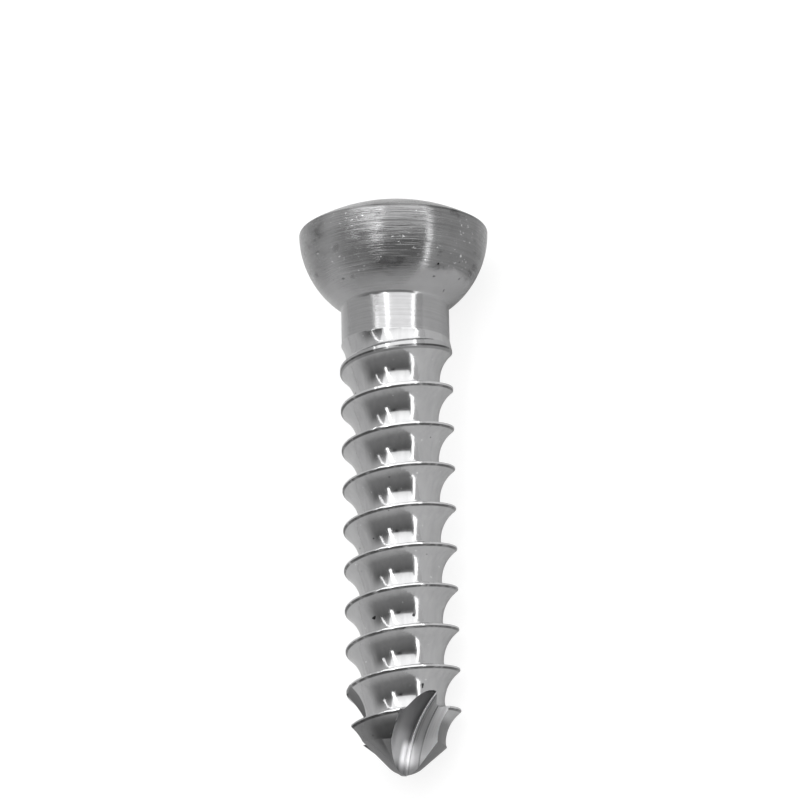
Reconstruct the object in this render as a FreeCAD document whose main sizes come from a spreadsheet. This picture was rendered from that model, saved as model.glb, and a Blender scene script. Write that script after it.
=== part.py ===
import FreeCAD, Part
import math
import os
import Sketcher
from FreeCAD import Placement, Rotation, Vector

# A cortical bone screw, turned from one bar of surgical steel, in millimetres.
# It is drawn upright: the screw's axis is Z, the head is up, and Z is 0 at the
# widest circle of the head, which is also the centre of its round underside.
# When it is finished it is laid down the way it comes to rest on a table.

SIZES = [
    ("overall_length", 24.75, "top of the head to the tip"),
    ("head_diameter", 8.0, "widest circle of the head; the underside is half a ball of this size"),
    ("dome_radius", 7.5, "rounding of the top of the head"),
    ("rim_rounding", 0.15, "broken edge round the widest circle"),
    ("hex_across_flats", 3.5, "driver socket"),
    ("hex_depth", 2.8, "depth of the flats below the top of the head"),
    ("hex_entry_diameter", 4.2, "outer edge of the cone that leads the driver in"),
    ("hex_entry_angle", 90.0, "full angle of that cone"),
    ("pilot_diameter", 3.3, "hole drilled before the flats are cut"),
    ("pilot_extra_depth", 0.2, "how far the pilot hole runs past the flats"),
    ("pilot_point_angle", 118.0, "full angle of the drill point"),
    ("neck_diameter", 4.56, "plain neck under the head"),
    ("neck_fillet", 0.2, "hollow between head and neck"),
    ("neck_end", 4.85, "widest circle of the head to the end of the plain neck"),
    ("shoulder_length", 0.45, "slope from the neck up to the thread"),
    ("thread_diameter", 4.75, "over the crests"),
    ("core_diameter", 3.4, "at the root of the thread"),
    ("thread_pitch", 1.74, "crest to crest"),
    ("crest_land", 0.09, "width of the crest"),
    ("crest_clearance", 0.03, "how far the hollow flank's cutting shape runs on past the crest"),
    ("trailing_flank_angle", 3.0, "flank that faces the head, from a plane square to the axis"),
    ("first_crest", 5.26, "widest circle of the head to the last crest cut at full depth"),
    ("full_turns", 11.0, "whole turns cut at full depth, the last of them past the tip"),
    ("runout_turns", 1.0, "whole turns over which the tool is drawn out under the neck"),
    ("tip_half_angle", 48.0, "cone of the tip, from the axis"),
    ("nose_radius", 1.1, "rounding of the tip"),
    ("flute_count", 3.0, "cutting flutes round the tip"),
    ("flute_face_angle", -37.5, "turn of the first flute's flat face about the axis"),
    ("flute_cutter_radius", 4.75, "arc of the flute's floor along the screw"),
    ("flute_past_axis", 0.03, "how far the floor passes the axis beyond the tip"),
    ("flute_past_tip", 0.4, "tip to the lowest point of the floor's arc"),
    ("flute_exit_angle", 60.0, "slope at which the floor runs out through the thread, from the axis"),
    ("flute_relief_angle", 8.0, "how far the floor leans out from square to the flat face"),
    ("thread_tool_margin", 0.15, "how far the thread's cutting shape stands clear of the bar"),
    ("flute_tool_margin", 1.0, "how far the flute's cutting shape stands clear of the bar"),
    ("resting_side", 60.5, "turn about the axis of the side that lies underneath"),
]

doc = FreeCAD.newDocument("BoneScrew")
sheet = doc.addObject("Spreadsheet::Sheet", "Sizes")
size = {}
for row, (name, value, meaning) in enumerate(SIZES, start=1):
    sheet.set(f"A{row}", name)
    sheet.set(f"B{row}", str(value))
    sheet.setAlias(f"B{row}", name)
    sheet.set(f"C{row}", meaning)
    size[name] = value
doc.recompute()

screw = doc.addObject("PartDesign::Body", "bone_screw")
screw.Label = "bone_screw"

HORIZONTAL_AXIS, VERTICAL_AXIS = -1, -2
START, END, CENTRE = range(1, 4)
ORIGIN = (HORIZONTAL_AXIS, START)
MESH_TOLERANCE = 0.01


def origin_feature(role):
    """The plane or axis of the body's own origin that has this role."""
    return next(f for f in screw.Origin.OriginFeatures if f.Role == role)


def new_sketch(name, role="XZ_Plane"):
    """A sketch on an origin plane; on XZ its x is the radius and its y the height."""
    sketch = screw.newObject("Sketcher::SketchObject", name)
    sketch.AttachmentSupport = (origin_feature(role), [""])
    sketch.MapMode = "FlatFace"
    return sketch


def add_line(sketch, start, end):
    return sketch.addGeometry(Part.LineSegment(Vector(*start), Vector(*end)), False)


def add_arc(sketch, centre, radius, start_angle, end_angle):
    circle = Part.Circle(Vector(*centre), Vector(0, 0, 1), radius)
    return sketch.addGeometry(Part.ArcOfCircle(circle, start_angle, end_angle), False)


def relate(sketch, kind, *where):
    sketch.addConstraint(Sketcher.Constraint(kind, *where))


def drive(sketch, kind, *where, to, rule):
    """A dimension that follows the sheet: `to` is where it starts, `rule` what keeps it."""
    index = sketch.addConstraint(Sketcher.Constraint(kind, *where, to))
    sketch.setExpression(f"Constraints[{index}]", rule)


def close_chain(sketch, pairs):
    """Joins the ends of neighbouring edges, each given as (edge, end, next edge, its end)."""
    for pair in pairs:
        relate(sketch, "Coincident", *pair)


head_radius = size["head_diameter"] / 2
neck_radius = size["neck_diameter"] / 2
thread_radius = size["thread_diameter"] / 2
core_radius = size["core_diameter"] / 2
dome_centre = -math.sqrt(size["dome_radius"] ** 2 - head_radius ** 2)
head_top = dome_centre + size["dome_radius"]
tip = head_top - size["overall_length"]
DOME_HEIGHT = "(Sizes.dome_radius - sqrt(Sizes.dome_radius ^ 2 - (Sizes.head_diameter / 2) ^ 2))"
TIP_DEPTH = f"(Sizes.overall_length - {DOME_HEIGHT})"


def draw_blank():
    """Half outline of the turned bar: domed head, round underside, neck, shank and coned tip."""
    sketch = new_sketch("BlankOutline")
    cone = math.radians(size["tip_half_angle"])
    nose = size["nose_radius"]
    rim = size["rim_rounding"]
    fillet = size["neck_fillet"]
    dome = size["dome_radius"]
    rim_height = ((head_radius - rim) ** 2 - (dome - rim) ** 2 + dome_centre ** 2) / 2 / dome_centre
    rim_centre = (math.sqrt((head_radius - rim) ** 2 - rim_height ** 2), rim_height)
    dome_end = math.atan2(rim_height - dome_centre, rim_centre[0])
    ball_start = math.atan2(rim_height, rim_centre[0])
    fillet_radius = neck_radius + fillet
    fillet_centre = (fillet_radius, -math.sqrt((head_radius + fillet) ** 2 - fillet_radius ** 2))
    ball_end = math.atan2(fillet_centre[1], fillet_centre[0])
    neck_foot = -size["neck_end"]
    shoulder_foot = neck_foot - size["shoulder_length"]
    nose_edge = (nose * math.cos(cone), tip + nose - nose * math.sin(cone))
    cone_top = nose_edge[1] + (thread_radius - nose_edge[0]) / math.tan(cone)

    crown = add_arc(sketch, (0, dome_centre), dome, dome_end, math.pi / 2)
    edge = add_arc(sketch, rim_centre, rim, ball_start, dome_end)
    ball = add_arc(sketch, (0, 0), head_radius, ball_end, ball_start)
    hollow = add_arc(sketch, fillet_centre, fillet, ball_end + math.pi, math.pi)
    neck = add_line(sketch, (neck_radius, fillet_centre[1]), (neck_radius, neck_foot))
    shoulder = add_line(sketch, (neck_radius, neck_foot), (thread_radius, shoulder_foot))
    shank = add_line(sketch, (thread_radius, shoulder_foot), (thread_radius, cone_top))
    taper = add_line(sketch, nose_edge, (thread_radius, cone_top))
    point = add_arc(sketch, (0, tip + nose), nose, -math.pi / 2, -cone)
    axis = add_line(sketch, (0, tip), (0, head_top))

    relate(sketch, "Tangent", crown, START, edge, END)
    relate(sketch, "Tangent", edge, START, ball, END)
    relate(sketch, "Tangent", ball, START, hollow, START)
    relate(sketch, "Tangent", hollow, END, neck, START)
    relate(sketch, "Tangent", taper, START, point, END)
    close_chain(sketch, [
        (axis, END, crown, END),
        (neck, END, shoulder, START),
        (shoulder, END, shank, START),
        (shank, END, taper, END),
        (point, START, axis, START),
        (ball, CENTRE, *ORIGIN),
    ])
    for end in ((axis, START), (axis, END), (crown, CENTRE), (point, CENTRE)):
        relate(sketch, "PointOnObject", *end, VERTICAL_AXIS)
    relate(sketch, "Vertical", neck)
    relate(sketch, "Vertical", shank)

    drive(sketch, "Radius", crown, to=dome, rule="Sizes.dome_radius")
    drive(sketch, "Radius", edge, to=rim, rule="Sizes.rim_rounding")
    drive(sketch, "Radius", ball, to=head_radius, rule="Sizes.head_diameter / 2")
    drive(sketch, "Radius", hollow, to=fillet, rule="Sizes.neck_fillet")
    drive(sketch, "Radius", point, to=nose, rule="Sizes.nose_radius")
    drive(sketch, "Angle", taper, to=math.pi / 2 - cone, rule="(90 - Sizes.tip_half_angle) * 1 deg")
    drive(sketch, "DistanceX", *ORIGIN, neck, END, to=neck_radius, rule="Sizes.neck_diameter / 2")
    drive(sketch, "DistanceX", *ORIGIN, shank, START, to=thread_radius, rule="Sizes.thread_diameter / 2")
    drive(sketch, "DistanceY", *ORIGIN, axis, END, to=head_top, rule=DOME_HEIGHT)
    drive(sketch, "DistanceY", axis, START, axis, END, to=size["overall_length"],
          rule="Sizes.overall_length")
    drive(sketch, "DistanceY", neck, END, *ORIGIN, to=-neck_foot, rule="Sizes.neck_end")
    drive(sketch, "DistanceY", shank, START, *ORIGIN, to=-shoulder_foot,
          rule="Sizes.neck_end + Sizes.shoulder_length")
    return sketch


def turn_blank():
    turned = screw.newObject("PartDesign::Revolution", "Turned")
    turned.Profile = draw_blank()
    turned.ReferenceAxis = (origin_feature("Z_Axis"), [""])
    turned.Angle = 360
    doc.recompute()


def cut_hexagon():
    """Hexagonal pocket for the driver, down from the top of the head."""
    sketch = new_sketch("HexOutline", "XY_Plane")
    sketch.AttachmentOffset = Placement(Vector(0, 0, head_top), Rotation())
    sketch.setExpression("AttachmentOffset.Base.z", DOME_HEIGHT)
    corner = size["hex_across_flats"] / math.sqrt(3)
    corners = [(corner * math.cos(k * math.pi / 3), corner * math.sin(k * math.pi / 3)) for k in range(6)]
    sides = [add_line(sketch, corners[k], corners[(k + 1) % 6]) for k in range(6)]
    circle = sketch.addGeometry(Part.Circle(Vector(0, 0), Vector(0, 0, 1), corner), True)
    relate(sketch, "Coincident", circle, CENTRE, *ORIGIN)
    for k in range(6):
        relate(sketch, "Coincident", sides[k], END, sides[(k + 1) % 6], START)
        relate(sketch, "PointOnObject", sides[k], START, circle)
    for k in range(5):
        relate(sketch, "Equal", sides[k], sides[k + 1])
    relate(sketch, "PointOnObject", sides[0], START, HORIZONTAL_AXIS)
    drive(sketch, "Radius", circle, to=corner, rule="Sizes.hex_across_flats / sqrt(3)")
    doc.recompute()
    hexagon = screw.newObject("PartDesign::Pocket", "HexSocket")
    hexagon.Profile = sketch
    hexagon.Type = "Length"
    hexagon.setExpression("Length", "Sizes.hex_depth")
    doc.recompute()


def cut_pilot_hole():
    """The drilled hole that the hexagon was broached over, with its drill point."""
    sketch = new_sketch("PilotOutline")
    half_point = math.radians(size["pilot_point_angle"] / 2)
    radius = size["pilot_diameter"] / 2
    flats_foot = head_top - size["hex_depth"]
    wall_foot = flats_foot - size["pilot_extra_depth"]
    point_foot = wall_foot - radius / math.tan(half_point)
    shelf = add_line(sketch, (0, flats_foot), (radius, flats_foot))
    wall = add_line(sketch, (radius, flats_foot), (radius, wall_foot))
    point = add_line(sketch, (0, point_foot), (radius, wall_foot))
    middle = add_line(sketch, (0, point_foot), (0, flats_foot))
    close_chain(sketch, [
        (shelf, END, wall, START),
        (wall, END, point, END),
        (point, START, middle, START),
        (middle, END, shelf, START),
    ])
    relate(sketch, "Horizontal", shelf)
    relate(sketch, "Vertical", wall)
    relate(sketch, "PointOnObject", middle, START, VERTICAL_AXIS)
    relate(sketch, "PointOnObject", middle, END, VERTICAL_AXIS)
    drive(sketch, "DistanceX", *ORIGIN, wall, START, to=radius, rule="Sizes.pilot_diameter / 2")
    drive(sketch, "DistanceY", wall, END, wall, START, to=size["pilot_extra_depth"],
          rule="Sizes.pilot_extra_depth")
    drive(sketch, "DistanceY", shelf, START, *ORIGIN, to=-flats_foot,
          rule=f"Sizes.hex_depth - {DOME_HEIGHT}")
    drive(sketch, "Angle", point, to=math.pi / 2 - half_point,
          rule="(90 - Sizes.pilot_point_angle / 2) * 1 deg")
    groove("PilotHole", sketch)


def cut_entry():
    """The cone at the mouth of the socket, which leads the driver in."""
    sketch = new_sketch("EntryOutline")
    half_angle = math.radians(size["hex_entry_angle"] / 2)
    mouth = size["hex_entry_diameter"] / 2
    mouth_drop = size["dome_radius"] - math.sqrt(size["dome_radius"] ** 2 - mouth ** 2)
    apex = head_top - mouth_drop - mouth / math.tan(half_angle)
    rim = (head_top - apex) * math.tan(half_angle)
    rise = add_line(sketch, (0, apex), (rim, head_top))
    lid = add_line(sketch, (0, head_top), (rim, head_top))
    middle = add_line(sketch, (0, apex), (0, head_top))
    close_chain(sketch, [
        (rise, START, middle, START),
        (middle, END, lid, START),
        (lid, END, rise, END),
    ])
    relate(sketch, "Horizontal", lid)
    relate(sketch, "PointOnObject", middle, START, VERTICAL_AXIS)
    relate(sketch, "PointOnObject", middle, END, VERTICAL_AXIS)
    drive(sketch, "Angle", rise, to=math.pi / 2 - half_angle,
          rule="(90 - Sizes.hex_entry_angle / 2) * 1 deg")
    drive(sketch, "DistanceY", *ORIGIN, middle, END, to=head_top, rule=DOME_HEIGHT)
    drop_rule = "Sizes.dome_radius - sqrt(Sizes.dome_radius ^ 2 - (Sizes.hex_entry_diameter / 2) ^ 2)"
    cone_rule = "Sizes.hex_entry_diameter / 2 / tan(Sizes.hex_entry_angle / 2 * 1 deg)"
    drive(sketch, "DistanceY", middle, START, middle, END, to=head_top - apex,
          rule=f"{drop_rule} + {cone_rule}")
    groove("SocketEntry", sketch)


def groove(name, sketch):
    """Turns away what the closed sketch covers, all the way round the axis."""
    doc.recompute()
    cut = screw.newObject("PartDesign::Groove", name)
    cut.Profile = sketch
    cut.ReferenceAxis = (origin_feature("Z_Axis"), [""])
    cut.Angle = 360
    doc.recompute()
    return cut


def draw_thread(name, crest_rule, crest_height):
    """Section of the thread's groove below the crest at this height.

    The flank that faces the tip is one hollow, which runs down from the crest until it is
    square to the steep flank that faces the head.
    """
    sketch = new_sketch(name)
    steep = math.radians(size["trailing_flank_angle"])
    depth = thread_radius - core_radius
    width = size["thread_pitch"] - size["crest_land"] - depth * math.tan(steep)
    radius = (width ** 2 + depth ** 2) / 2 / depth
    root = crest_height - width
    outside = max(thread_radius, neck_radius) + size["thread_tool_margin"]
    hollow_reach = thread_radius + size["crest_clearance"]
    hollow_middle = core_radius + radius
    hollow_end = math.acos((hollow_reach - hollow_middle) / radius)
    hollow_top = (hollow_reach, root + radius * math.sin(hollow_end))
    steep_top = (outside, root - (outside - core_radius) * math.tan(steep))

    hollow = add_arc(sketch, (hollow_middle, root), radius, hollow_end, math.pi)
    trail = add_line(sketch, (core_radius, root), steep_top)
    back = add_line(sketch, steep_top, (outside, hollow_top[1]))
    cap = add_line(sketch, (outside, hollow_top[1]), hollow_top)
    close_chain(sketch, [
        (hollow, END, trail, START),
        (trail, END, back, START),
        (back, END, cap, START),
        (cap, END, hollow, START),
    ])
    relate(sketch, "Vertical", back)
    relate(sketch, "Horizontal", cap)
    relate(sketch, "Horizontal", hollow, CENTRE, hollow, END)

    depth_rule = "(Sizes.thread_diameter - Sizes.core_diameter) / 2"
    width_rule = ("(Sizes.thread_pitch - Sizes.crest_land"
                  f" - {depth_rule} * tan(Sizes.trailing_flank_angle * 1 deg))")
    drive(sketch, "Angle", trail, to=-steep, rule="-Sizes.trailing_flank_angle * 1 deg")
    drive(sketch, "Radius", hollow, to=radius,
          rule=f"({width_rule} ^ 2 / ({depth_rule}) + {depth_rule}) / 2")
    drive(sketch, "DistanceX", *ORIGIN, hollow, END, to=core_radius, rule="Sizes.core_diameter / 2")
    drive(sketch, "DistanceX", *ORIGIN, hollow, START, to=hollow_reach,
          rule="Sizes.thread_diameter / 2 + Sizes.crest_clearance")
    drive(sketch, "DistanceX", *ORIGIN, back, START, to=outside,
          rule="max(Sizes.thread_diameter; Sizes.neck_diameter) / 2 + Sizes.thread_tool_margin")
    drive(sketch, "DistanceY", hollow, END, *ORIGIN, to=-root, rule=f"{crest_rule} + {width_rule}")
    doc.recompute()
    return sketch


def cut_thread():
    """The groove at full depth from past the tip up to the neck, right-handed."""
    below = size["first_crest"] + size["full_turns"] * size["thread_pitch"]
    thread = screw.newObject("PartDesign::SubtractiveHelix", "Thread")
    thread.Profile = draw_thread(
        "ThreadOutline", "Sizes.first_crest + Sizes.full_turns * Sizes.thread_pitch", -below)
    thread.ReferenceAxis = (origin_feature("Z_Axis"), [""])
    thread.Mode = "pitch-height-angle"
    thread.setExpression("Pitch", "Sizes.thread_pitch")
    thread.setExpression("Height", "Sizes.full_turns * Sizes.thread_pitch")
    doc.recompute()


def cut_runout():
    """The last turn, along which the tool is drawn out until it leaves the bar."""
    runout = screw.newObject("PartDesign::SubtractiveHelix", "Runout")
    runout.Profile = draw_thread("RunoutOutline", "Sizes.first_crest", -size["first_crest"])
    runout.ReferenceAxis = (origin_feature("Z_Axis"), [""])
    runout.Mode = "height-turns-growth"
    runout.setExpression("Height", "Sizes.runout_turns * Sizes.thread_pitch")
    runout.setExpression("Turns", "Sizes.runout_turns")
    runout.setExpression("Growth", "(Sizes.thread_diameter - Sizes.core_diameter) / 2 / Sizes.runout_turns")
    doc.recompute()


def draw_flute():
    """Side view of what a flute takes away, on the plane of its flat face.

    The floor starts along the axis just past the tip, follows the cutter's arc, and runs
    out straight through the thread.
    """
    sketch = new_sketch("FluteOutline")
    sketch.AttachmentOffset = Placement(Vector(), Rotation(Vector(0, 1, 0), size["flute_face_angle"]))
    sketch.setExpression("AttachmentOffset.Rotation.Angle", "Sizes.flute_face_angle * 1 deg")
    radius = size["flute_cutter_radius"]
    leave = math.radians(size["flute_exit_angle"])
    lowest = (-size["flute_past_axis"], tip - size["flute_past_tip"])
    turn_off = (lowest[0] + radius * (1 - math.cos(leave)), lowest[1] + radius * math.sin(leave))
    outside = thread_radius + size["flute_tool_margin"]
    way_out = (outside, turn_off[1] + (outside - turn_off[0]) / math.tan(leave))
    bottom = lowest[1] - size["flute_tool_margin"]

    entry = add_line(sketch, (lowest[0], bottom), lowest)
    floor = add_arc(sketch, (lowest[0] + radius, lowest[1]), radius, math.pi - leave, math.pi)
    ramp = add_line(sketch, turn_off, way_out)
    back = add_line(sketch, way_out, (outside, bottom))
    base = add_line(sketch, (outside, bottom), (lowest[0], bottom))
    relate(sketch, "Tangent", entry, END, floor, END)
    relate(sketch, "Tangent", ramp, START, floor, START)
    close_chain(sketch, [
        (ramp, END, back, START),
        (back, END, base, START),
        (base, END, entry, START),
    ])
    relate(sketch, "Vertical", entry)
    relate(sketch, "Vertical", back)
    relate(sketch, "Horizontal", base)
    drive(sketch, "Radius", floor, to=radius, rule="Sizes.flute_cutter_radius")
    drive(sketch, "Angle", ramp, to=math.pi / 2 - leave, rule="(90 - Sizes.flute_exit_angle) * 1 deg")
    drive(sketch, "DistanceX", entry, END, *ORIGIN, to=-lowest[0], rule="Sizes.flute_past_axis")
    drive(sketch, "DistanceY", entry, END, *ORIGIN, to=-lowest[1],
          rule=f"{TIP_DEPTH} + Sizes.flute_past_tip")
    drive(sketch, "DistanceX", *ORIGIN, back, START, to=outside,
          rule="Sizes.thread_diameter / 2 + Sizes.flute_tool_margin")
    drive(sketch, "DistanceY", entry, START, entry, END, to=lowest[1] - bottom,
          rule="Sizes.flute_tool_margin")
    doc.recompute()
    return sketch


def cut_flutes():
    """Cutting flutes: a flat face through the axis, and a floor cut by the rim of a disc."""
    flute = screw.newObject("PartDesign::Pocket", "Flute")
    flute.Profile = draw_flute()
    flute.Type = "Length"
    flute.setExpression("Length", "Sizes.thread_diameter / 2 + Sizes.flute_tool_margin")
    lean = math.radians(size["flute_face_angle"] - 90 + size["flute_relief_angle"])
    lean_rule = "(Sizes.flute_face_angle - 90 + Sizes.flute_relief_angle) * 1 deg"
    flute.UseCustomVector = True
    flute.AlongSketchNormal = True
    flute.Direction = Vector(math.cos(lean), math.sin(lean), 0)
    flute.setExpression("Direction.x", f"cos({lean_rule})")
    flute.setExpression("Direction.y", f"sin({lean_rule})")
    doc.recompute()
    flutes = screw.newObject("PartDesign::PolarPattern", "Flutes")
    flutes.Originals = [flute]
    flutes.Axis = (origin_feature("Z_Axis"), [""])
    flutes.Angle = 360
    flutes.setExpression("Occurrences", "Sizes.flute_count")
    screw.Tip = flutes
    doc.recompute()


def resting_tilt(points, underneath):
    """Angle by which the tip hangs below the head's middle when both touch the table.

    The head rolls on its round underside, so each point of the screw would reach the table
    at a tilt of its own. The one that reaches it first carries the tip.
    """
    tilts = []
    for point in points:
        along = -point.z
        down = point.x * underneath.x + point.y * underneath.y
        reach = math.hypot(along, down)
        if along > head_radius:
            tilts.append(math.asin(head_radius / reach) - math.atan2(down, along))
    return math.degrees(min(tilts))


def lay_down():
    """Lays the screw on its head and thread, with its head towards +Y and Z 0 on the table."""
    points = screw.Shape.tessellate(MESH_TOLERANCE)[0]
    side = math.radians(size["resting_side"])
    underneath = Vector(math.cos(side), math.sin(side), 0)
    tilt = resting_tilt(points, underneath)
    turn = Rotation(Vector(0, 0, 1), 90 - size["resting_side"])
    lean = Rotation(Vector(1, 0, 0), tilt - 90)
    laid = lean * turn
    moved = [laid.multVec(point) for point in points]
    middle_x = (min(p.x for p in moved) + max(p.x for p in moved)) / 2
    middle_y = (min(p.y for p in moved) + max(p.y for p in moved)) / 2
    screw.Placement = Placement(Vector(-middle_x, -middle_y, head_radius), laid)
    doc.recompute()


turn_blank()
cut_flutes()
cut_runout()
cut_thread()
cut_hexagon()
cut_pilot_hole()
cut_entry()
lay_down()

for part in doc.Objects:
    if "Invalid" in part.State or "Error" in part.State:
        raise RuntimeError(f"{part.Name} failed: {part.State}")
if screw.Shape.isNull() or not screw.Shape.isValid() or len(screw.Shape.Solids) != 1:
    raise RuntimeError("the screw is not one sound solid")

os.makedirs("parts", exist_ok=True)
screw.Shape.exportStep("parts/bone_screw.step")
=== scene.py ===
import math

import bmesh
import bpy
from mathutils import Matrix, Vector


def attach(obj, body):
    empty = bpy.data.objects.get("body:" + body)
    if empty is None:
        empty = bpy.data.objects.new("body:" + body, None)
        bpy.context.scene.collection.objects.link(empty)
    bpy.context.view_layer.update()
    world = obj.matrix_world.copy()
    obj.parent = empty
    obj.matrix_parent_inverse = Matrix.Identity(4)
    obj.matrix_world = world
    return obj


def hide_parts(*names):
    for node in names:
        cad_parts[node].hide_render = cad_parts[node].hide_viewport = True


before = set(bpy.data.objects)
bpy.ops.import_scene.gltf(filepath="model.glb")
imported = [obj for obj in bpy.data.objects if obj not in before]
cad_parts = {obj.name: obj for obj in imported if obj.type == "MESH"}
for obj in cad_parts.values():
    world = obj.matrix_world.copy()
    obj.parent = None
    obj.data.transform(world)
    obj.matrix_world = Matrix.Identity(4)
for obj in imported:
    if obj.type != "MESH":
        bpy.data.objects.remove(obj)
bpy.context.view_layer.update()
scene = bpy.context.scene
scene.view_settings.view_transform = "Standard"


# The camera looks down on the lying screw from the side of its tip, through a long lens,
# so that the head stands up in the picture and the round underside is seen from below.
camera = bpy.data.objects.new("camera", bpy.data.cameras.new("camera"))
scene.collection.objects.link(camera)
scene.camera = camera
camera.data.lens = 260.5
camera.data.sensor_width = 36.0
camera.data.clip_start = 0.01
camera.data.clip_end = 20.0
camera_place = Vector((0.114756, -0.084503, 0.199281))
camera_right = Vector((0.867120, 0.021307, -0.497644))
camera_up = Vector((0.163404, 0.931626, 0.324611))
camera_back = camera_right.cross(camera_up)
camera.matrix_world = Matrix.Translation(camera_place) @ Matrix(
    (camera_right, camera_up, camera_back)
).transposed().to_4x4()


# The bar: surgical steel, turned on a lathe to the outline of the whole screw. It is drawn
# upright in millimetres, with Z 0 at the widest circle of the head. The top of the head is
# domed, its underside is half a ball, and the neck runs out into the shank and coned tip.
head_radius = 4.0
dome_radius = 7.5
rim_rounding = 0.15
neck_radius = 2.28
neck_fillet = 0.2
neck_end = -4.85
shank_top = -5.3
shank_radius = 2.375
overall_length = 24.75
tip_half_angle = math.radians(48)
nose_radius = 1.1

dome_middle = -math.sqrt(dome_radius**2 - head_radius**2)
head_top = dome_middle + dome_radius
tip_height = head_top - overall_length


def arc(middle, radius, first, last, count):
    """Points (radius, height) along an arc of the outline, between two angles."""
    angles = [first + (last - first) * k / count for k in range(count + 1)]
    return [(middle[0] + radius * math.cos(a), middle[1] + radius * math.sin(a)) for a in angles]


def bar_outline():
    """The bar's outline as points (radius, height), from the top of the dome to the nose."""
    rim_height = (
        (head_radius - rim_rounding) ** 2 - (dome_radius - rim_rounding) ** 2 + dome_middle**2
    ) / (2 * dome_middle)
    rim_middle = (math.sqrt((head_radius - rim_rounding) ** 2 - rim_height**2), rim_height)
    dome_end = math.atan2(rim_height - dome_middle, rim_middle[0])
    ball_start = math.atan2(rim_height, rim_middle[0])
    fillet_x = neck_radius + neck_fillet
    fillet_y = -math.sqrt((head_radius + neck_fillet) ** 2 - fillet_x**2)
    ball_end = math.atan2(fillet_y, fillet_x)
    nose_x = nose_radius * math.cos(tip_half_angle)
    nose_y = tip_height + nose_radius - nose_radius * math.sin(tip_half_angle)
    cone_top = nose_y + (shank_radius - nose_x) / math.tan(tip_half_angle)
    points = arc((0, dome_middle), dome_radius, math.pi / 2, dome_end, 24)
    points += arc(rim_middle, rim_rounding, dome_end, ball_start, 8)[1:]
    points += arc((0, 0), head_radius, ball_start, ball_end, 48)[1:]
    points += arc((fillet_x, fillet_y), neck_fillet, ball_end + math.pi, math.pi, 8)[1:]
    points += [(neck_radius, neck_end), (shank_radius, shank_top), (shank_radius, cone_top)]
    points += arc((0, tip_height + nose_radius), nose_radius, -tip_half_angle, -math.pi / 2, 16)
    return points


def section_mesh(name, points):
    """A chain of points (radius, height) as an edge-only mesh on the XZ plane."""
    mesh = bpy.data.meshes.new(name)
    links = [(k, k + 1) for k in range(len(points) - 1)]
    mesh.from_pydata([(x, 0, z) for x, z in points], links, [])
    return mesh


def add(tree, kind, feeds=(), **settings):
    """Adds a node with its settings; feeds gives its inputs values or other nodes' sockets."""
    made = tree.nodes.new(kind)
    for name, value in settings.items():
        setattr(made, name, value)
    for key, value in dict(feeds).items():
        if isinstance(value, bpy.types.NodeSocket):
            tree.links.new(value, made.inputs[key])
        else:
            made.inputs[key].default_value = value
    return made


def work_out(tree, operation, *values):
    """A Math node's result."""
    return add(tree, "ShaderNodeMath", dict(enumerate(values)), operation=operation).outputs[0]


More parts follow.
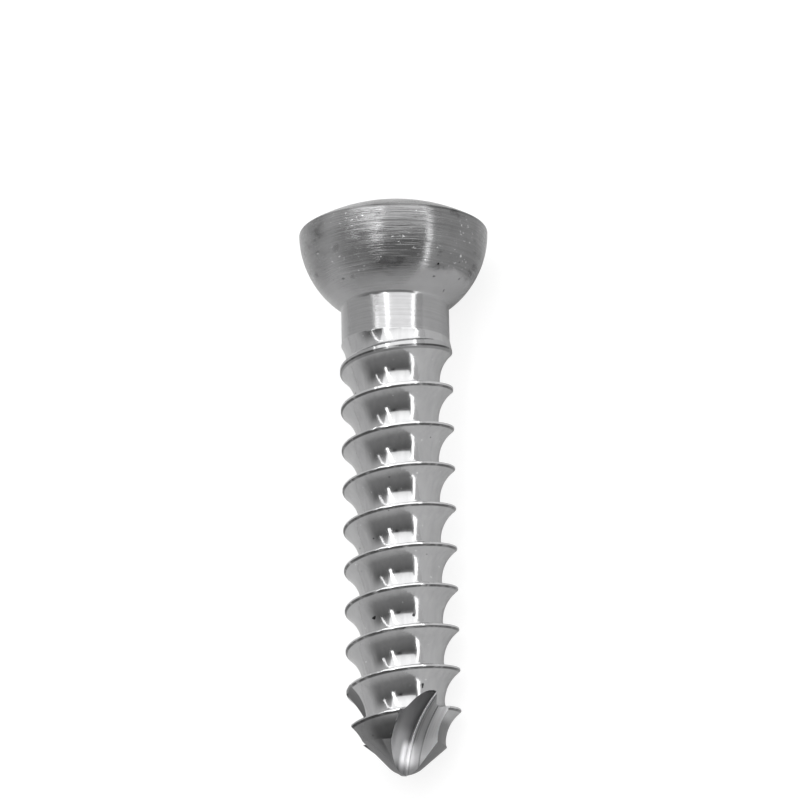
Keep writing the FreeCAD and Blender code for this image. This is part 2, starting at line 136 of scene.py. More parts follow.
def sweep_tree():
    """Sweeps a section round the Z axis, with a rise to each turn, and closes the skin.

    After the full turns the section is drawn outwards evenly; the last full turns already
    ease out a little, because the tool starts to lift there.
    """
    tree = bpy.data.node_groups.new("sweep_round_axis", "GeometryNodeTree")
    tree.interface.new_socket("Section", in_out="INPUT", socket_type="NodeSocketGeometry")
    for name, start in (
        ("Steps per turn", 120.0),
        ("Turns", 1.0),
        ("Rise per turn", 0.0),
        ("Full turns", 1000.0),
        ("Drawn out per turn", 0.0),
        ("Easing", 0.0),
        ("Easing turns", 1.0),
        ("Start turn", 0.0),
        ("Pointed ends", 0.0),
    ):
        socket = tree.interface.new_socket(name, in_out="INPUT", socket_type="NodeSocketFloat")
        socket.default_value = start
    tree.interface.new_socket("Skin", in_out="OUTPUT", socket_type="NodeSocketGeometry")
    given = tree.nodes.new("NodeGroupInput").outputs
    section = given["Section"]
    domain = add(tree, "GeometryNodeAttributeDomainSize", {"Geometry": section})
    count = domain.outputs["Point Count"]
    steps = work_out(tree, "MULTIPLY", given["Steps per turn"], given["Turns"])
    steps = work_out(tree, "ROUND", steps)
    grid = add(tree, "GeometryNodeMeshGrid", {
        "Size X": 1.0, "Size Y": 1.0,
        "Vertices X": work_out(tree, "ADD", steps, 1.0),
        "Vertices Y": count,
    }).outputs["Mesh"]
    index = add(tree, "GeometryNodeInputIndex").outputs[0]
    step = work_out(tree, "DIVIDE", work_out(tree, "ADD", index, 0.5), count)
    step = work_out(tree, "FLOOR", step)
    place = work_out(tree, "SUBTRACT", index, work_out(tree, "MULTIPLY", step, count))
    position = add(tree, "GeometryNodeInputPosition").outputs[0]
    sampled = add(tree, "GeometryNodeSampleIndex", {
        "Geometry": section, "Value": position, "Index": place,
    }, data_type="FLOAT_VECTOR").outputs["Value"]
    middle = add(tree, "GeometryNodeAttributeStatistic", {
        "Geometry": section, "Attribute": position,
    }, data_type="FLOAT_VECTOR").outputs["Mean"]
    at_start = work_out(tree, "LESS_THAN", step, 0.5)
    at_end = work_out(tree, "GREATER_THAN", step, work_out(tree, "SUBTRACT", steps, 0.5))
    pointed = work_out(tree, "ADD", at_start, at_end)
    pointed = work_out(tree, "MULTIPLY", given["Pointed ends"], pointed)
    point = add(tree, "ShaderNodeMix", {0: pointed, 4: sampled, 5: middle}, data_type="VECTOR")
    apart = add(tree, "ShaderNodeSeparateXYZ", {0: point.outputs[1]}).outputs
    turn = work_out(tree, "DIVIDE", step, given["Steps per turn"])
    past = work_out(tree, "MAXIMUM", work_out(tree, "SUBTRACT", turn, given["Full turns"]), 0.0)
    before = work_out(tree, "SUBTRACT", given["Full turns"], turn)
    eased = work_out(tree, "SUBTRACT", 1.0, work_out(tree, "DIVIDE", before, given["Easing turns"]))
    eased = work_out(tree, "MINIMUM", work_out(tree, "MAXIMUM", eased, 0.0), 1.0)
    eased = work_out(tree, "MULTIPLY", work_out(tree, "MULTIPLY", eased, eased), given["Easing"])
    left = work_out(tree, "SUBTRACT", given["Drawn out per turn"], given["Easing"])
    left = work_out(tree, "MAXIMUM", left, 0.0)
    drawn = work_out(tree, "ADD", work_out(tree, "MULTIPLY", past, left), eased)
    radius = work_out(tree, "ADD", apart["X"], drawn)
    rise = work_out(tree, "MULTIPLY", turn, given["Rise per turn"])
    height = work_out(tree, "ADD", apart["Z"], rise)
    angle = work_out(tree, "ADD", turn, given["Start turn"])
    angle = work_out(tree, "MULTIPLY", angle, 2 * math.pi)
    placed = add(tree, "ShaderNodeCombineXYZ", {
        "X": work_out(tree, "MULTIPLY", radius, work_out(tree, "COSINE", angle)),
        "Y": work_out(tree, "MULTIPLY", radius, work_out(tree, "SINE", angle)),
        "Z": height,
    }).outputs[0]
    moved = add(tree, "GeometryNodeSetPosition", {"Geometry": grid, "Position": placed})
    closed = add(tree, "GeometryNodeMergeByDistance", {
        "Geometry": moved.outputs[0], "Distance": 0.0002,
    })
    skin = add(tree, "GeometryNodeRealizeInstances", {"Geometry": closed.outputs[0]})
    out = tree.nodes.new("NodeGroupOutput")
    tree.links.new(skin.outputs[0], out.inputs["Skin"])
    return tree


sweep = sweep_tree()


def run_tree(name, mesh, tree, **values):
    """The plain mesh that a tree makes of this one, with its faces turned outwards."""
    worked = bpy.data.objects.new(name, mesh)
    scene.collection.objects.link(worked)
    modifier = worked.modifiers.new("made", "NODES")
    modifier.node_group = tree
    sockets = {item.name: item.identifier for item in tree.interface.items_tree}
    for key, value in values.items():
        modifier[sockets[key.replace("_", " ")]] = value
    bpy.context.view_layer.update()
    evaluated = worked.evaluated_get(bpy.context.evaluated_depsgraph_get())
    made = bpy.data.meshes.new_from_object(evaluated)
    made.name = name
    bpy.data.objects.remove(worked)
    shape = bmesh.new()
    shape.from_mesh(made)
    bmesh.ops.remove_doubles(shape, verts=shape.verts, dist=0.0001)
    bmesh.ops.recalc_face_normals(shape, faces=shape.faces)
    shape.to_mesh(made)
    shape.free()
    return made


bar = run_tree("bar", section_mesh("bar_outline", bar_outline()), sweep, Turns=1.0)


# The thread: one deep asymmetric groove, cut right-handed along the whole shank. Its flank
# towards the tip slopes into a wide hollow, the one towards the head is nearly square, and
# under the neck the tool is drawn out over one turn. The crests are very slightly rounded.
core_radius = 1.7
pitch = 1.74
crest_land = 0.09
crest_rounding = 0.03
above_crest = 0.004
leading_flank = math.radians(42.5)
trailing_flank = math.radians(3)
trailing_root = 0.28
first_crest = -5.26
full_turns = 11.0
overrun = 0.15
leave_angle = math.radians(20)
crest_easing = 0.12
half_step = 0.5 / 120


def groove_section():
    """Outline of the groove below a crest at height 0, drawn from that crest downwards."""
    slope = math.pi / 2 - leading_flank
    depth = shank_radius - core_radius
    width = pitch - crest_land
    small_corner = trailing_root * math.tan((math.pi / 2 - trailing_flank) / 2)
    large = (
        width - depth / math.tan(slope) - depth * math.tan(trailing_flank) - small_corner
    ) / math.tan(slope / 2)
    root = -depth / math.tan(slope) - large * math.tan(slope / 2)
    outside = shank_radius + overrun
    skin = shank_radius + above_crest
    crest_x = shank_radius - crest_rounding
    upper_middle = (crest_x, crest_rounding * math.tan(slope / 2))
    upper = arc(upper_middle, crest_rounding, -leave_angle, -slope, 4)
    start = upper[0]
    rise = (skin - start[0]) / math.tan(leave_angle)
    top = [(outside, start[1] + rise), (skin, start[1] + rise)]
    hollow = arc((core_radius + large, root), large, math.pi - slope, math.pi, 14)
    foot = arc((core_radius + trailing_root, root), trailing_root,
               math.pi, 1.5 * math.pi - trailing_flank, 10)
    steep_turn = math.pi / 2 - trailing_flank
    edge = root - small_corner - depth * math.tan(trailing_flank)
    lower_middle = (crest_x, edge - crest_rounding * math.tan(steep_turn / 2))
    lower = arc(lower_middle, crest_rounding, steep_turn, leave_angle, 6)
    end = lower[-1]
    drop = (skin - end[0]) / math.tan(leave_angle)
    bottom = [(skin, end[1] - drop), (outside, end[1] - drop)]
    points = top + upper + hollow + foot[1:] + lower + bottom
    return points + points[:1]


groove = run_tree(
    "groove",
    section_mesh("groove_outline", [
        (x, z + first_crest - full_turns * pitch) for x, z in groove_section()
    ]),
    sweep,
    Turns=full_turns + 1,
    Rise_per_turn=pitch,
    Full_turns=full_turns,
    Drawn_out_per_turn=shank_radius - core_radius,
    Easing=crest_easing,
    Easing_turns=2.0,
    Start_turn=half_step,
    Pointed_ends=1.0,
)


# The flutes: three cutting gashes milled round the tip. Each has a flat face through the
# axis, which makes the cutting edges, and a floor left by the rim of a round cutter. The
# rim is rounded too, so the floor is a little hollow across and leans out past its middle.
flute_face = math.radians(-37.5)
cutter_radius = 4.75
past_tip = 0.4
flute_exit = math.radians(60)
floor_dip = -0.13
floor_hollow = 0.19
clear = 1.0
flute_slices = 16


def flute_mesh():
    """One flute as a closed shape to cut with: its side view, drawn across in slices."""
    outside = shank_radius + clear
    lowest = tip_height - past_tip
    floor = arc((cutter_radius, lowest), cutter_radius, math.pi, math.pi - flute_exit, 36)
    leave = floor[-1]
    way_out = (outside, leave[1] + (outside - leave[0]) / math.tan(flute_exit))
    side = [(0, lowest - clear)] + floor + [way_out, (outside, lowest - clear)]
    shape = bmesh.new()
    along = Vector((math.cos(flute_face), math.sin(flute_face), 0))
    across = Vector((along.y, -along.x, 0))
    rings = []
    for k in range(flute_slices + 1):
        width = outside * k / flute_slices
        lean = floor_dip * width + floor_hollow * width**2
        rings.append([
            shape.verts.new(along * (x + lean) + across * width + Vector((0, 0, z)))
            for x, z in side
        ])
    shape.faces.new(rings[0])
    shape.faces.new(rings[-1][::-1])
    for near, far in zip(rings, rings[1:]):
        for k in range(len(side)):
            n = (k + 1) % len(side)
            shape.faces.new((near[k], near[n], far[n], far[k]))
    bmesh.ops.recalc_face_normals(shape, faces=shape.faces)
    mesh = bpy.data.meshes.new("flute")
    shape.to_mesh(mesh)
    shape.free()
    return mesh


# The socket: a hexagon broached over a drilled pilot hole, with a cone at its mouth that
# leads the driver in. It takes a 3.5 mm driver.
hex_flats = 3.5
hex_depth = 2.8
entry_radius = 2.1
pilot_radius = 1.65
pilot_extra = 0.2
pilot_point = math.radians(59)
pilot_overlap = 0.5
above_mouth = 0.6
above_head = 1.0
round_steps = 96.0


def hexagon_mesh():
    """The broached hexagon as a closed prism to cut with."""
    corner = hex_flats / math.sqrt(3)
    shape = bmesh.new()
    ring = []
    turns = [k * math.pi / 3 for k in range(6)]
    for z in (head_top - hex_depth, head_top + above_head):
        ring.append([
            shape.verts.new((corner * math.cos(turn), corner * math.sin(turn), z))
            for turn in turns
        ])
    shape.faces.new(ring[0])
    shape.faces.new(ring[1])
    for k in range(6):
        n = (k + 1) % 6
        shape.faces.new((ring[0][k], ring[0][n], ring[1][n], ring[1][k]))
    bmesh.ops.recalc_face_normals(shape, faces=shape.faces)
    mesh = bpy.data.meshes.new("hexagon")
    shape.to_mesh(mesh)
    shape.free()
    return mesh


flats_foot = head_top - hex_depth
mouth_height = dome_middle + math.sqrt(dome_radius**2 - entry_radius**2)
pilot = run_tree("pilot", section_mesh("pilot_outline", [
    (0, flats_foot + pilot_overlap),
    (pilot_radius, flats_foot + pilot_overlap),
    (pilot_radius, flats_foot - pilot_extra),
    (0, flats_foot - pilot_extra - pilot_radius / math.tan(pilot_point)),
]), sweep, Turns=1.0, Steps_per_turn=round_steps)
entry = run_tree("entry", section_mesh("entry_outline", [
    (0, mouth_height - entry_radius),
    (entry_radius + above_mouth, mouth_height + above_mouth),
    (0, mouth_height + above_mouth),
]), sweep, Turns=1.0, Steps_per_turn=round_steps)


def cutting_tree():
    """Takes the groove, three flutes and the socket out of the bar."""
    tree = bpy.data.node_groups.new("cut_from_bar", "GeometryNodeTree")
    tree.interface.new_socket("Bar", in_out="INPUT", socket_type="NodeSocketGeometry")
    for name in ("Groove", "Flute", "Hexagon", "Pilot", "Entry"):
        tree.interface.new_socket(name, in_out="INPUT", socket_type="NodeSocketObject")
    flutes = tree.interface.new_socket("Flutes", in_out="INPUT", socket_type="NodeSocketInt")
    flutes.default_value = 3
    tree.interface.new_socket("Steel", in_out="INPUT", socket_type="NodeSocketMaterial")
    tree.interface.new_socket("Screw", in_out="OUTPUT", socket_type="NodeSocketGeometry")
    given = tree.nodes.new("NodeGroupInput").outputs

    def shape_of(name):
        return add(tree, "GeometryNodeObjectInfo", {"Object": given[name]}).outputs["Geometry"]

    def cut(body, *tools):
        made = add(tree, "GeometryNodeMeshBoolean", {"Mesh 1": body}, operation="DIFFERENCE",
                   solver="EXACT")
        for tool in tools:
            tree.links.new(tool, made.inputs["Mesh 2"])
        made.inputs["Self Intersection"].default_value = True
        return made.outputs[0]

    spots = add(tree, "GeometryNodePoints", {"Count": given["Flutes"]}).outputs[0]
    index = add(tree, "GeometryNodeInputIndex").outputs[0]
    share = work_out(tree, "DIVIDE", index, given["Flutes"])
    turn = work_out(tree, "MULTIPLY", share, 2 * math.pi)
    turned = add(tree, "ShaderNodeCombineXYZ", {"Z": turn})
    gashes = add(tree, "GeometryNodeInstanceOnPoints", {
        "Points": spots, "Instance": shape_of("Flute"), "Rotation": turned.outputs[0],
    })
    gashes = add(tree, "GeometryNodeRealizeInstances", {"Geometry": gashes.outputs[0]})
    gashes = add(tree, "GeometryNodeStoreNamedAttribute", {
        "Geometry": gashes.outputs[0], "Name": "milled", "Value": 1.0,
    }, data_type="FLOAT", domain="FACE")
    threaded = cut(given["Bar"], shape_of("Groove"))
    fluted = cut(threaded, gashes.outputs[0])
    drilled = cut(fluted, shape_of("Hexagon"), shape_of("Pilot"), shape_of("Entry"))
    whole = add(tree, "GeometryNodeRealizeInstances", {"Geometry": drilled})
    coated = add(tree, "GeometryNodeSetMaterial", {
        "Geometry": whole.outputs[0], "Material": given["Steel"],
    })
    out = tree.nodes.new("NodeGroupOutput")
    tree.links.new(coated.outputs[0], out.inputs["Screw"])
    return tree


steel = bpy.data.materials.new("steel")
steel.use_nodes = True

tools = {}
for name, mesh in (
    ("Groove", groove), ("Flute", flute_mesh()), ("Hexagon", hexagon_mesh()),
    ("Pilot", pilot), ("Entry", entry),
):
    tools[name] = bpy.data.objects.new(name, mesh)
    scene.collection.objects.link(tools[name])

screw_mesh = run_tree("screw", bar, cutting_tree(), Steel=steel, **tools)
for tool in tools.values():
    bpy.data.objects.remove(tool)


# The finished screw: it lies on its head and thread, with the head towards +Y. The skin is
# smooth wherever the steel is, and breaks only at the real edges.
millimetre = 0.001
edge_angle = math.radians(32)
lying_lean = math.radians(4.9624)
lying_turn = math.radians(90 - 60.5)
head_place = Vector((0, 0.0112379, 0.004))
lying = (
    Matrix.Translation(head_place)
    @ Matrix.Rotation(lying_lean - math.pi / 2, 4, "X")
    @ Matrix.Rotation(lying_turn, 4, "Z")
    @ Matrix.Scale(millimetre, 4)
)
screw_mesh.transform(lying)
for face in screw_mesh.polygons:
    face.use_smooth = True
screw_mesh.set_sharp_from_angle(angle=edge_angle)
screw = bpy.data.objects.new("screw", screw_mesh)
scene.collection.objects.link(screw)
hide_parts("bone_screw")
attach(screw, "root")


# The steel: one bright metal, finished four ways, with painted light and shade on top. Fine
# turning lines run round the head and the neck, the thread is smooth with faint chatter
# marks, and the flutes are milled along their length. Scuffs, specks and small pits mark the
# head. Its left side is painted lighter and its right side darker, the flutes carry painted
# shade and highlights, and each crest has a painted highlight over a painted shade line.
lying_turned = lying.to_quaternion().to_euler()
head_to_neck = -3.33
neck_to_thread = -4.89
finish_overlap = 0.03
crest_radius = 2.27
blue_tint = 1.01
head_dullness = 0.16


def upright_place(tree):
    """The shaded point's place on the upright screw, in millimetres, and its x, y and z."""
    lying_place = add(tree, "ShaderNodeTexCoord").outputs["Object"]
    place = add(tree, "ShaderNodeMapping", {
        "Vector": lying_place, "Location": head_place, "Rotation": lying_turned,
        "Scale": (millimetre, millimetre, millimetre),
    }, vector_type="TEXTURE").outputs[0]
    apart = add(tree, "ShaderNodeSeparateXYZ", {0: place}).outputs
    return place, apart["X"], apart["Y"], apart["Z"]


def total(tree, first, *others):
    """Adds values up."""
    for other in others:
        first = work_out(tree, "ADD", first, other)
    return first


def product(tree, first, *others):
    """Multiplies values."""
    for other in others:
        first = work_out(tree, "MULTIPLY", first, other)
    return first


def ramp(tree, value, start, end, low=0.0, high=1.0):
    """Goes smoothly from low to high while the value goes from start to end."""
    return add(tree, "ShaderNodeMapRange", {
        "Value": value, "From Min": start, "From Max": end, "To Min": low, "To Max": high,
    }, interpolation_type="SMOOTHSTEP").outputs[0]


def grain(tree, place, stretch, detail=2.0):
    """Noise round 0, between about -1 and 1, on the place times this stretch."""
    scaled = add(tree, "ShaderNodeVectorMath", {0: place, 1: stretch}, operation="MULTIPLY")
    noise = add(tree, "ShaderNodeTexNoise", {
        "Vector": scaled.outputs[0], "Scale": 1.0, "Detail": detail, "Roughness": 0.6,
    }).outputs[0]
    return add(tree, "ShaderNodeMapRange", {
        "Value": noise, "From Min": 0.25, "From Max": 0.75, "To Min": -1.0, "To Max": 1.0,
    }, clamp=False).outputs[0]


def blend(tree, share, first, second):
    """The first value where the share is 0 and the second where it is 1."""
    rest = work_out(tree, "SUBTRACT", 1.0, share)
    return total(tree, product(tree, first, rest), product(tree, second, share))


def from_axis(tree, x, y):
    """Distance from the screw's axis."""
    return work_out(tree, "SQRT", total(tree, product(tree, x, x), product(tree, y, y)))


def shading_group(name, rows):
    """A shader group with the upright place as its input; rows makes its three results."""
    tree = bpy.data.node_groups.new(name, "ShaderNodeTree")
    tree.interface.new_socket("Place", in_out="INPUT", socket_type="NodeSocketVector")
    for result in ("Brightness", "Roughness", "Height"):
        tree.interface.new_socket(result, in_out="OUTPUT", socket_type="NodeSocketFloat")
    place = tree.nodes.new("NodeGroupInput").outputs["Place"]
    results = rows(tree, place)
    out = tree.nodes.new("NodeGroupOutput")
    for socket, result in zip(out.inputs, results):
        tree.links.new(result, socket)
    return tree


def head_finish_and_painted_light(tree, place):
    """Turning lines, worn off low on the underside, with smudges, specks and a few pits, and
    painted light on the left side and painted shade on the right.
    """
    apart = add(tree, "ShaderNodeSeparateXYZ", {0: place}).outputs
    side = apart["X"]
    height = apart["Z"]
    lines = grain(tree, place, (0.2, 0.2, 13.0), 3.0)
    fine = grain(tree, place, (0.5, 0.5, 34.0), 1.0)
    cloud = grain(tree, place, (0.55, 0.55, 0.9), 4.0)
    smudge = grain(tree, place, (0.8, 0.8, 1.6), 4.0)

    # The lines are worn off below an uneven border, which is lower on the left.
    border = total(tree, height, product(tree, smudge, 0.25), product(tree, side, -0.055))
    worn = product(tree, ramp(tree, border, -2.35, -2.7), ramp(tree, side, -2.9, -1.9, 0.2, 1.0))
    kept = work_out(tree, "SUBTRACT", 1.0, worn)
    tone = total(tree, 0.245, product(tree, cloud, 0.035), product(tree, lines, kept, 0.035))

    # Smudges, fewer on the dome, then painted light on the left side and painted shade on the
    # right.
    less_on_top = ramp(tree, height, 0.1, -0.1, 0.3, 1.0)
    smudged = product(tree, ramp(tree, smudge, 0.2, 0.7), kept, less_on_top)
    tone = total(tree, tone, product(tree, smudged, -0.085), product(tree, worn, 0.13))
    painted_light_left = product(tree, ramp(tree, side, -3.4, -2.4), ramp(tree, side, -0.6, -1.3), kept)
    painted_shade_right = product(tree, ramp(tree, side, 1.3, 2.2), kept)
    tone = total(tree, tone, product(tree, painted_light_left, 0.12), product(tree, painted_shade_right, -0.04))

    # The rim is a thin dark line under a slightly darker dome.
    rim = product(tree, ramp(tree, height, -0.1, -0.06), ramp(tree, height, 0.04, 0.0))
    dome = ramp(tree, height, 0.0, 0.05, 0.0, -0.07)
    tone = total(tree, tone, dome, product(tree, rim, -0.08))

    # Small pits low on the underside, and bright specks where the surface is scuffed.
    low = ramp(tree, height, -1.7, -2.2)
    pits = product(tree, low, ramp(tree, grain(tree, place, (3.1, 3.1, 5.0), 0.0), 1.22, 1.28))
    specks = ramp(tree, grain(tree, place, (6.5, 6.5, 12.0), 1.0), 0.68, 0.95)
    scuffed = ramp(tree, cloud, -0.4, 0.3)
    specks = product(tree, specks, scuffed, kept)
    tone = total(tree, tone, product(tree, pits, -0.2), product(tree, specks, 0.42))
    rough = total(tree, 0.16, product(tree, smudged, 0.12), product(tree, worn, 0.06))
    relief = total(tree, product(tree, lines, 0.006), product(tree, fine, 0.0028))
    relief = product(tree, relief, total(tree, product(tree, kept, 0.85), 0.15))
    return tone, rough, relief


def neck_finish(tree, place):
    """Fine turning lines."""
    lines = grain(tree, place, (0.3, 0.3, 26.0), 2.0)
    cloud = grain(tree, place, (0.8, 0.8, 0.6), 3.0)
    tone = total(tree, 0.36, product(tree, cloud, 0.03), product(tree, lines, 0.03))
    rough = total(tree, 0.15, product(tree, cloud, 0.02))
    return tone, rough, product(tree, lines, 0.0014)


def thread_finish(tree, place):
    """Smooth, with faint chatter, a few specks and pits, and a duller cone at the tip."""
    height = add(tree, "ShaderNodeSeparateXYZ", {0: place}).outputs["Z"]
    cloud = grain(tree, place, (0.7, 0.7, 0.7), 3.0)
    chatter = grain(tree, place, (3.2, 3.2, 0.9), 2.0)
    drawn = grain(tree, place, (4.0, 4.0, 0.2), 2.0)
    specks = ramp(tree, grain(tree, place, (5.5, 5.5, 8.0), 1.0), 1.06, 1.14)
    pits = ramp(tree, grain(tree, place, (3.3, 3.3, 4.1), 0.0), 1.38, 1.45)
    tone = total(tree, 0.46, product(tree, cloud, 0.035), product(tree, drawn, 0.03))
    tone = total(tree, tone, product(tree, pits, -0.4))
    tone = product(tree, tone, ramp(tree, height, -21.7, -21.3, 0.44, 1.0))
    tone = total(tree, tone, product(tree, specks, 0.35))
    rough = total(tree, 0.13, product(tree, cloud, 0.02))
    return tone, rough, product(tree, chatter, 0.0012)


def milled_finish_and_painted_light(tree, place):
    """Milling lines along each flute, also painted as reflected streaks, painted shade on its
    floor, and on its flat face a painted highlight in the corner and a painted shadow at a step.

    The three flutes are folded into one, whose flat face is at angle 0. The corner lies where
    the cutter's arc meets that face; from_corner is the distance outwards from it.
    """
    apart = add(tree, "ShaderNodeSeparateXYZ", {0: place}).outputs
    height = apart["Z"]
    radius = from_axis(tree, apart["X"], apart["Y"])
    angle = work_out(tree, "ARCTAN2", apart["Y"], apart["X"])
    angle = work_out(tree, "SUBTRACT", angle, flute_face)
    third = 2 * math.pi / 3
    nearest = work_out(tree, "ROUND", total(tree, product(tree, angle, 1 / third), 1 / 3))
    angle = work_out(tree, "SUBTRACT", angle, product(tree, nearest, third))
    out = product(tree, radius, work_out(tree, "COSINE", angle))
    across = product(tree, radius, work_out(tree, "SINE", angle), -1.0)
    rise = total(tree, height, past_tip - tip_height)
    corner_out = work_out(tree, "SUBTRACT", cutter_radius**2, product(tree, rise, rise))
    corner_out = work_out(tree, "SUBTRACT", cutter_radius, work_out(tree, "SQRT", corner_out))
    from_corner = work_out(tree, "SUBTRACT", out, corner_out)
    on_face = ramp(tree, work_out(tree, "ABSOLUTE", angle), 0.03, 0.01)
    on_floor = work_out(tree, "SUBTRACT", 1.0, on_face)
    low = ramp(tree, height, -22.1, -22.5)
    # Milling lines, used as bump and also painted into the tone as reflected light and dark
    # streaks.
    stretched = add(tree, "ShaderNodeCombineXYZ", {
        "X": product(tree, from_corner, 5.0),
        "Y": product(tree, angle, 1.5),
        "Z": product(tree, rise, 0.3),
    }).outputs[0]
    milling_stripes_and_painted_streaks = grain(tree, stretched, (1.0, 1.0, 1.0), 3.0)

    # The floor is painted dark as shade in the flute, darkest where it runs out, with a painted
    # highlight beside the corner near the tip.
    flute_floor_painted_shade_and_light = total(tree, 0.14, product(tree, ramp(tree, height, -21.6, -22.1), 0.1))
    flute_floor_painted_shade_and_light = total(tree, flute_floor_painted_shade_and_light, product(tree, ramp(tree, across, 0.6, 0.3), low, 0.5))

    # The flat face is painted bright, with the milling lines, a painted highlight in the corner
    # with a painted shadow line beside it, a painted shadow at the step, a brighter outer part,
    # and more painted light near the tip.
    corner = product(tree, on_face, ramp(tree, from_corner, 0.1, 0.07))
    beside = product(tree, ramp(tree, from_corner, 0.2, 0.16), ramp(tree, from_corner, 0.09, 0.11))
    shade = product(tree, on_face, beside)
    step = product(tree, ramp(tree, from_corner, 0.58, 0.63), ramp(tree, from_corner, 0.72, 0.67))
    outer = product(tree, on_face, ramp(tree, from_corner, 0.65, 0.75))
    face_painted_light_and_shade = total(tree, 0.85, product(tree, milling_stripes_and_painted_streaks, 0.22), product(tree, outer, 0.1))
    face_painted_light_and_shade = total(tree, face_painted_light_and_shade, product(tree, low, 0.2), product(tree, corner, 0.5))
    face_painted_light_and_shade = total(tree, face_painted_light_and_shade, product(tree, shade, -0.35), product(tree, step, -0.5))
    face_painted_light_and_shade = work_out(tree, "MAXIMUM", work_out(tree, "MINIMUM", face_painted_light_and_shade, 0.97), 0.05)
    tone = total(tree, product(tree, flute_floor_painted_shade_and_light, on_floor), product(tree, face_painted_light_and_shade, on_face))
    tone = product(tree, tone, ramp(tree, height, -23.5, -22.9, 0.4, 1.0))
    rough = total(tree, 0.16, product(tree, on_face, 0.3))
    return tone, rough, product(tree, milling_stripes_and_painted_streaks, 0.004)


surface = steel.node_tree
place, across_x, across_y, height = upright_place(surface)
shading_groups = {}
for name, rows in (
    ("head", head_finish_and_painted_light),
    ("neck", neck_finish),
    ("thread", thread_finish),
    ("milled", milled_finish_and_painted_light),
):
    group = surface.nodes.new("ShaderNodeGroup")
    group.node_tree = shading_group(name + "_shading", rows)
    surface.links.new(place, group.inputs["Place"])
    shading_groups[name] = group.outputs

on_head, on_neck = (
    ramp(surface, height, border - finish_overlap, border + finish_overlap)
    for border in (head_to_neck, neck_to_thread)
)
milled = add(surface, "ShaderNodeAttribute", attribute_name="milled").outputs["Fac"]
results = []
for result in ("Brightness", "Roughness", "Height"):
    value = blend(surface, on_neck, shading_groups["thread"][result], shading_groups["neck"][result])
    value = blend(surface, on_head, value, shading_groups["head"][result])
    results.append(blend(surface, milled, value, shading_groups["milled"][result]))
brightness, roughness, relief = results

# The crests: a painted shade line runs under each crest's edge, and a painted highlight
# over it. The land of the first crests is duller.
radius = from_axis(surface, across_x, across_y)
turn = product(surface, work_out(surface, "ARCTAN2", across_y, across_x), 1 / (2 * math.pi))
climb = work_out(surface, "SUBTRACT", height, product(surface, turn, pitch))
climb = work_out(surface, "SUBTRACT", climb, first_crest - full_turns * pitch)
climb = product(surface, climb, 1 / pitch)
from_crest = work_out(surface, "SUBTRACT", climb, work_out(surface, "ROUND", climb))
from_crest = product(surface, from_crest, pitch)
below_neck = ramp(surface, height, -5.2, -5.3)
outer = product(surface, ramp(surface, radius, crest_radius, crest_radius + 0.05), below_neck)
painted_crest_highlight = product(surface, outer, ramp(surface, from_crest, 0.0, 0.02))
painted_crest_shade = product(surface, outer, ramp(surface, from_crest, 0.01, -0.01))
painted_crest_shade = product(surface, painted_crest_shade, ramp(surface, from_crest, -0.1, -0.07))
crest_grain = grain(surface, place, (2.5, 2.5, 2.5), 3.0)
painted_crest_shade = product(surface, painted_crest_shade, ramp(surface, crest_grain, -1.3, 0.2))
first_land = product(surface, outer, ramp(surface, height, -7.2, -6.6))
for mask, share in ((painted_crest_shade, 0.75), (first_land, 0.4)):
    left = work_out(surface, "SUBTRACT", 1.0, product(surface, mask, share))
    brightness = product(surface, brightness, left)
brightness = total(surface, brightness, product(surface, painted_crest_highlight, 0.14))

shader = surface.nodes["Principled BSDF"]
colour = add(surface, "ShaderNodeCombineColor", {
    "Red": brightness, "Green": brightness, "Blue": product(surface, brightness, blue_tint),
})
surface.links.new(colour.outputs[0], shader.inputs["Base Color"])
surface.links.new(roughness, shader.inputs["Roughness"])
dulled = work_out(surface, "SUBTRACT", 1.0, product(surface, on_head, head_dullness))
surface.links.new(dulled, shader.inputs["Metallic"])
uneven = add(surface, "ShaderNodeBump", {
    "Height": product(surface, relief, millimetre), "Strength": 1.0, "Distance": 1.0,
})
surface.links.new(uneven.outputs[0], shader.inputs["Normal"])


# The studio: a plain pale floor that shows white to the camera, one wide soft lamp over the
# head, three narrow soft lamps beside the camera, and a pale room that is darker round it.
floor_half = 2.0
floor_grey = 0.72
floor_white = 1.2
floor_white_share = 0.7
lamp_distance = 0.8

floor_mesh = bpy.data.meshes.new("floor")
floor_corners = [
    (-floor_half, -floor_half, 0),
    (floor_half, -floor_half, 0),
    (floor_half, floor_half, 0),
    (-floor_half, floor_half, 0),
]
floor_mesh.from_pydata(floor_corners, [], [(0, 1, 2, 3)])
floor = bpy.data.objects.new("floor", floor_mesh)
scene.collection.objects.link(floor)
paint = bpy.data.materials.new("floor_paint")
paint.use_nodes = True
floor_mesh.materials.append(paint)
coat = paint.node_tree
matt = coat.nodes["Principled BSDF"]
matt.inputs["Base Color"].default_value = (floor_grey, floor_grey, floor_grey, 1)
matt.inputs["Roughness"].default_value = 1.0
matt.inputs["Specular IOR Level"].default_value = 0.0
seen = add(coat, "ShaderNodeLightPath").outputs["Is Camera Ray"]
white = add(coat, "ShaderNodeEmission", {"Color": (1, 1, 1, 1), "Strength": floor_white})
mixed = add(coat, "ShaderNodeMixShader", {
    0: product(coat, seen, floor_white_share), 1: matt.outputs[0], 2: white.outputs[0],
})
coat.links.new(mixed.outputs[0], coat.nodes["Material Output"].inputs["Surface"])


def seen_from_camera(across, upwards):
    """Direction from the screw, in degrees to the right and upwards from the camera's."""
    away = math.radians(math.hypot(across, upwards))
    turn = math.atan2(upwards, across)
    return (
        camera_right * (math.sin(away) * math.cos(turn))
        + camera_up * (math.sin(away) * math.sin(turn))
        + camera_back * math.cos(away)
    )


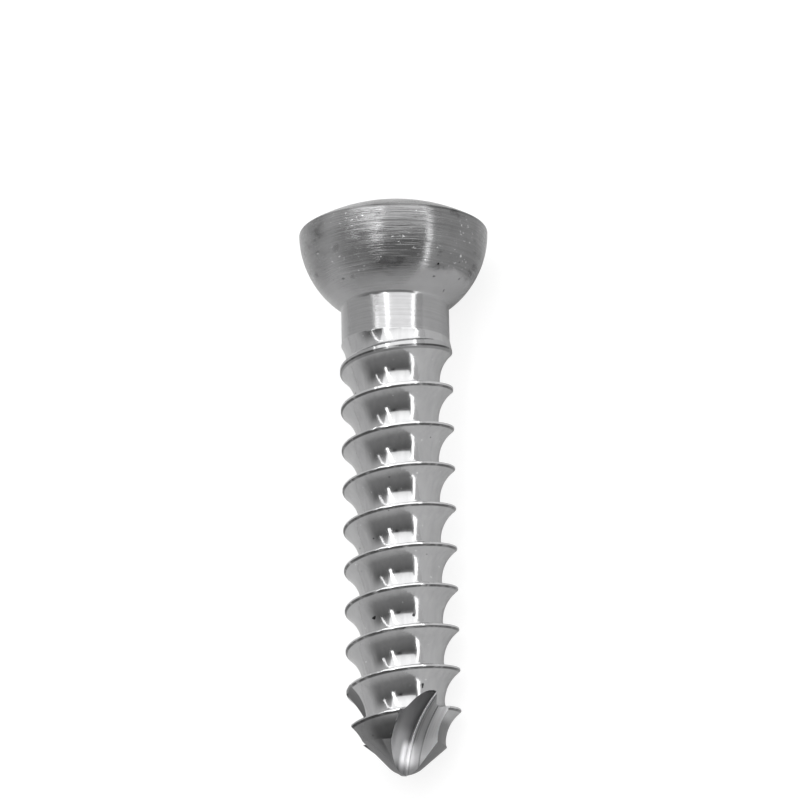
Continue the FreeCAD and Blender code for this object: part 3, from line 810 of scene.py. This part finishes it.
def soft_lamp(name, across, upwards, width, height, radiance, roll=0):
    """A flat lamp that faces the screw; width and height are the angles that it spans."""
    data = bpy.data.lights.new(name, "AREA")
    data.shape = "RECTANGLE"
    data.size = 2 * lamp_distance * math.tan(math.radians(width) / 2)
    data.size_y = 2 * lamp_distance * math.tan(math.radians(height) / 2)
    data.energy = radiance * math.pi * data.size * data.size_y
    lamp = bpy.data.objects.new(name, data)
    scene.collection.objects.link(lamp)
    away = seen_from_camera(across, upwards)
    side = camera_up.cross(away).normalized()
    lamp.matrix_world = Matrix.Translation(away * lamp_distance) @ Matrix(
        (side, away.cross(side), away)
    ).transposed().to_4x4() @ Matrix.Rotation(math.radians(roll), 4, "Z")


soft_lamp("wide_lamp", 0, 48, 76, 82, 1.25, roll=8)
soft_lamp("right_strip", 45, -8, 6, 104, 3.0)
soft_lamp("left_strip", -20, 18, 5, 56, 5.0)
soft_lamp("far_left_strip", -47, 25, 3, 46, 2.8)

world = bpy.data.worlds.new("room")
scene.world = world
world.use_nodes = True
room = world.node_tree
room_tone = 0.74
direction = add(room, "ShaderNodeTexCoord").outputs["Generated"]
across, upwards, towards = (
    add(room, "ShaderNodeVectorMath", {0: direction, 1: axis}, operation="DOT_PRODUCT")
    .outputs["Value"]
    for axis in (camera_right, camera_up, camera_back)
)
side_angle = work_out(room, "ARCTAN2", across, towards)

# The dark part spans the camera from left to right, and from below it to above it, where it
# fades. It is deepest level with the camera.
dark = product(
    room,
    ramp(room, side_angle, -1.65, -0.95),
    ramp(room, side_angle, 0.78, 0.68),
    ramp(room, upwards, -1.0, -0.6),
    ramp(room, upwards, 0.5, -0.05),
    ramp(room, towards, -0.3, 0.1),
)
deep = ramp(room, upwards, -0.75, 0.2, 0.42, 0.6)

# A darker spot lies just to the upper left of the camera.
aside = work_out(room, "POWER", total(room, across, 0.07), 2.0)
above = work_out(room, "POWER", total(room, upwards, -0.07), 2.0)
spot = ramp(room, total(room, aside, above), 0.016, 0.003)
tone = total(room, room_tone, product(room, dark, deep, -1.0), product(room, spot, -0.2))
background = room.nodes["Background"]
room.links.new(tone, background.inputs["Strength"])
background.inputs["Color"].default_value = (1, 1, 1, 1)
